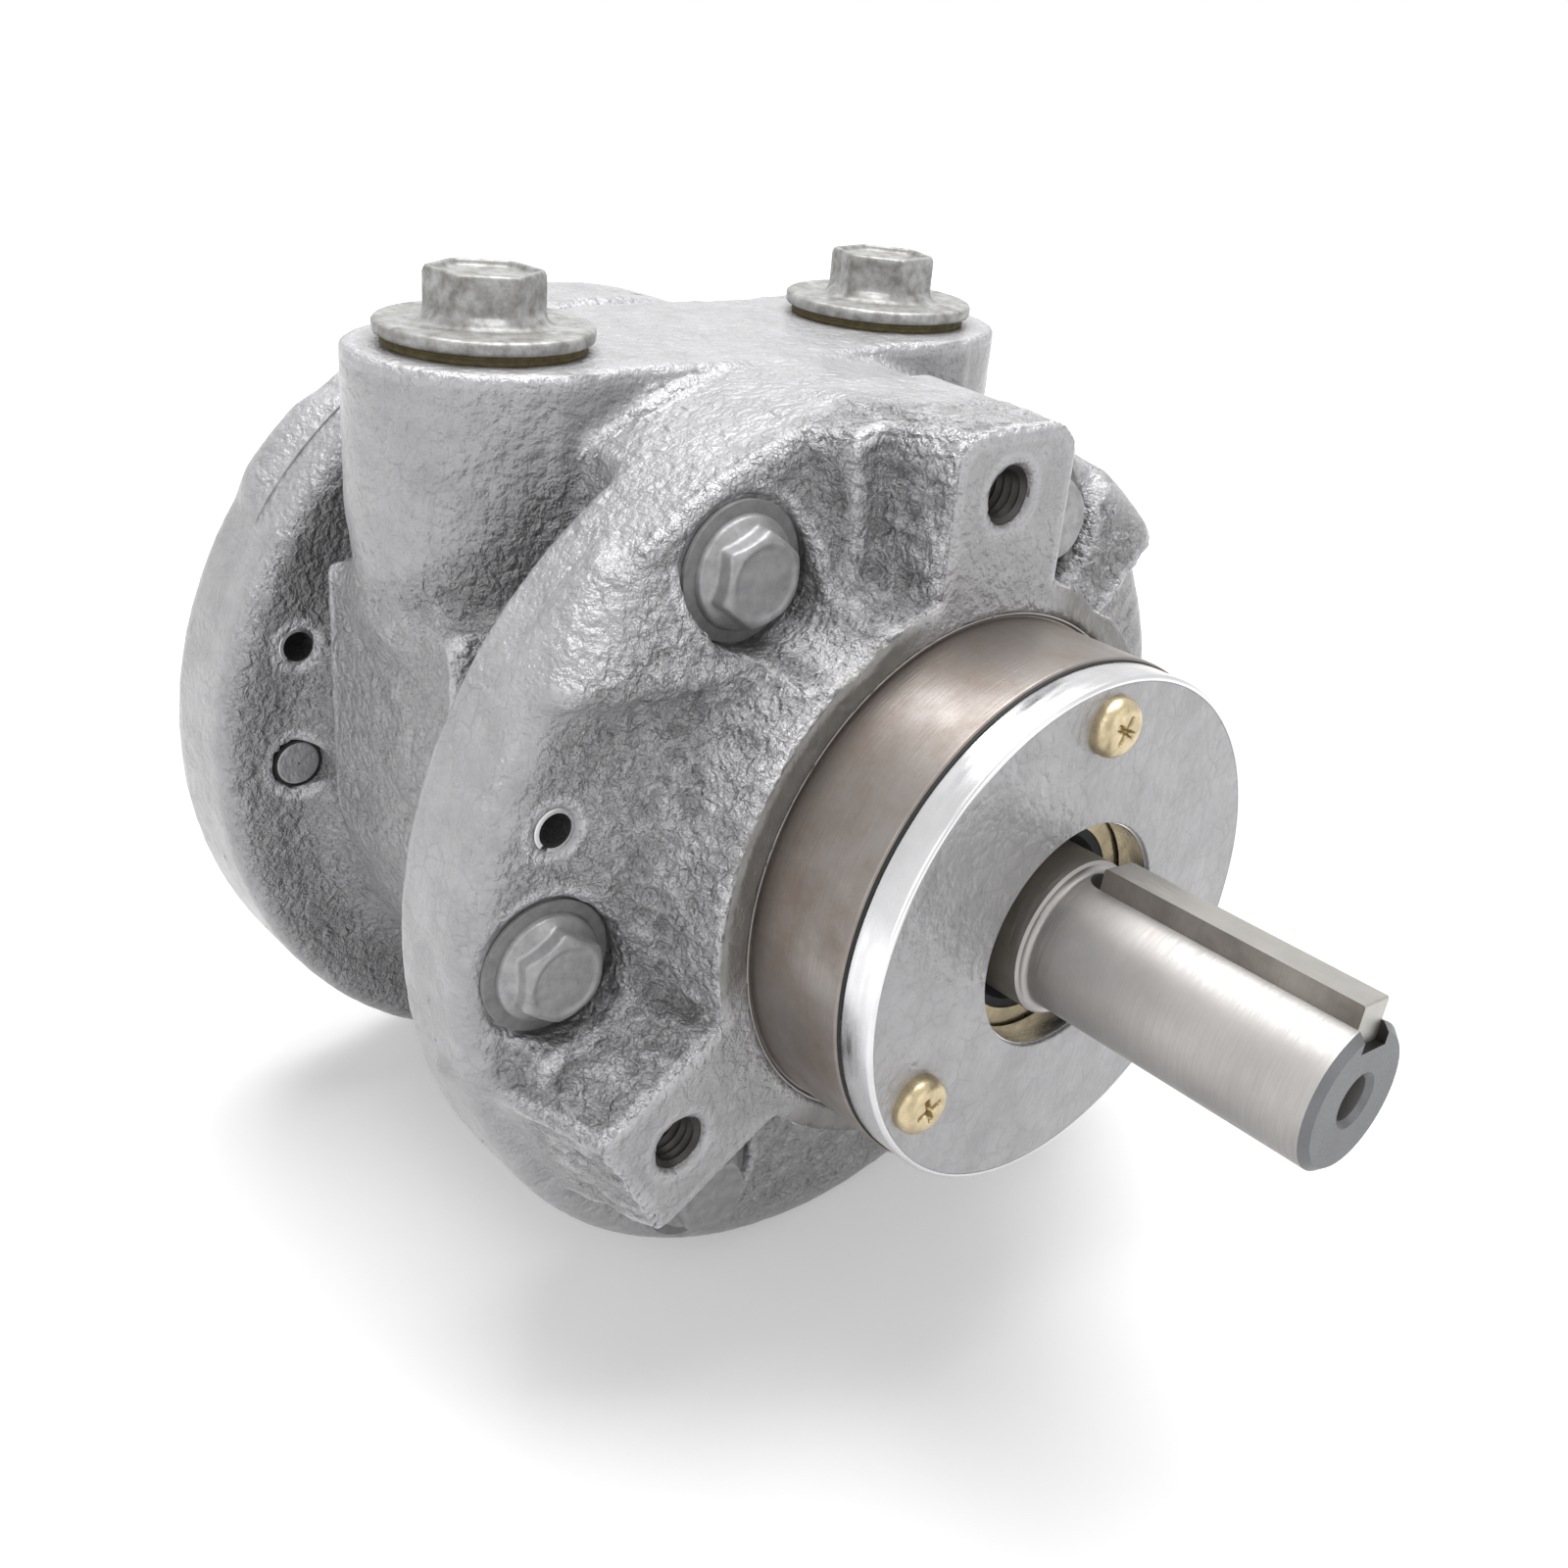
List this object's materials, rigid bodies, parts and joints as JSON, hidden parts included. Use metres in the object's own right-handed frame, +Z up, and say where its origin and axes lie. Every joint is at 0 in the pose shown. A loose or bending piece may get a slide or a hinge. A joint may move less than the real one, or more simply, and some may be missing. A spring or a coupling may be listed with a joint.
{
  "type": "air vane motor",
  "caption": "Air vane motor: round cast housing with plugged ports on top, flanged drive end with mounting pads, and a keyed output shaft that it turns",
  "frame": {"origin": "on the shaft axis, in the plane of the three mounting pads", "axes": "X along the shaft, +X towards its output end; +Z up through the port plugs; Y across"},
  "size_m": [0.1955, 0.152, 0.1634],
  "materials": {
    "painted_housing": "glossy hammered silver-grey paint on rough castings",
    "ground_steel": "ground",
    "bare_iron": "machined",
    "zinc_steel": "zinc plated, painted over where it shows",
    "yellow_zinc": "yellow passivated zinc",
    "bearing_steel": "polished",
    "cage_brass": "machined",
    "vane_laminate": "fabric laminate, matt",
    "gasket_fibre": "pressed fibre",
    "seal_rubber": "matt"
  },
  "bodies": {
    "housing": {"motor_body": "painted_housing", "body_drive_flange": "painted_housing", "body_rear_flange": "painted_housing", "drive_end_plate": "painted_housing", "rear_end_plate": "painted_housing", "bearing_cover": "painted_housing", "cover_gasket": "gasket_fibre", "port_plug_left": "painted_housing", "plug_gasket_left": "gasket_fibre", "port_plug_right": "painted_housing", "plug_gasket_right": "gasket_fibre", "seal_case": "yellow_zinc", "seal_lip": "seal_rubber", "end_cap": "zinc_steel", "end_cap_seal": "seal_rubber", "drive_bearing_outer_race": "bearing_steel", "rear_bearing_outer_race": "bearing_steel", "cover_screw_1": "yellow_zinc", "cover_screw_2": "yellow_zinc", "cover_screw_3": "yellow_zinc", "drive_plate_bolt_1": "zinc_steel", "drive_plate_bolt_2": "zinc_steel", "drive_plate_bolt_3": "zinc_steel", "drive_plate_bolt_4": "zinc_steel", "drive_plate_bolt_5": "zinc_steel", "drive_plate_bolt_6": "zinc_steel", "drive_plate_dowel_1": "zinc_steel", "drive_plate_dowel_2": "zinc_steel", "rear_plate_bolt_1": "zinc_steel", "rear_plate_bolt_2": "zinc_steel", "rear_plate_bolt_3": "zinc_steel", "rear_plate_bolt_4": "zinc_steel", "rear_plate_bolt_5": "zinc_steel", "rear_plate_bolt_6": "zinc_steel", "rear_plate_dowel_1": "zinc_steel", "rear_plate_dowel_2": "zinc_steel"},
    "rotor": {"shaft": "ground_steel", "shaft_key": "ground_steel", "rotor": "bare_iron", "drive_bearing_inner_race": "bearing_steel", "rear_bearing_inner_race": "bearing_steel"},
    "drive_cage": {"drive_bearing_balls": "bearing_steel", "drive_bearing_cage": "cage_brass"},
    "rear_cage": {"rear_bearing_balls": "bearing_steel", "rear_bearing_cage": "cage_brass"},
    "vane_body_1": {"vane_1": "vane_laminate"},
    "vane_body_2": {"vane_2": "vane_laminate"},
    "vane_body_3": {"vane_3": "vane_laminate"},
    "vane_body_4": {"vane_4": "vane_laminate"}
  },
  "joints": [
    {"name": "shaft_spin", "type": "hinge", "parent": "housing", "child": "rotor", "pos_m": [0, 0, 0], "axis": [1, 0, 0], "continuous": true},
    {"name": "drive_cage_spin", "type": "hinge", "parent": "housing", "child": "drive_cage", "pos_m": [0, 0, 0], "axis": [1, 0, 0], "continuous": true},
    {"name": "rear_cage_spin", "type": "hinge", "parent": "housing", "child": "rear_cage", "pos_m": [0, 0, 0], "axis": [1, 0, 0], "continuous": true},
    {"name": "vane_slide_1", "type": "slide", "parent": "rotor", "child": "vane_body_1", "axis": [0, 1, 0], "range_m": [0, 0.0064]},
    {"name": "vane_slide_2", "type": "slide", "parent": "rotor", "child": "vane_body_2", "axis": [0, 0, 1], "range_m": [0, 0.0003]},
    {"name": "vane_slide_3", "type": "slide", "parent": "rotor", "child": "vane_body_3", "axis": [0, -1, 0], "range_m": [0, 0.0064]},
    {"name": "vane_slide_4", "type": "slide", "parent": "rotor", "child": "vane_body_4", "axis": [0, 0, 1], "range_m": [-0.0064, 0]}
  ],
  "couplings": [
    {"joint": "drive_cage_spin", "follows": "shaft_spin", "ratio": 0.39688},
    {"joint": "rear_cage_spin", "follows": "shaft_spin", "ratio": 0.38175}
  ]
}
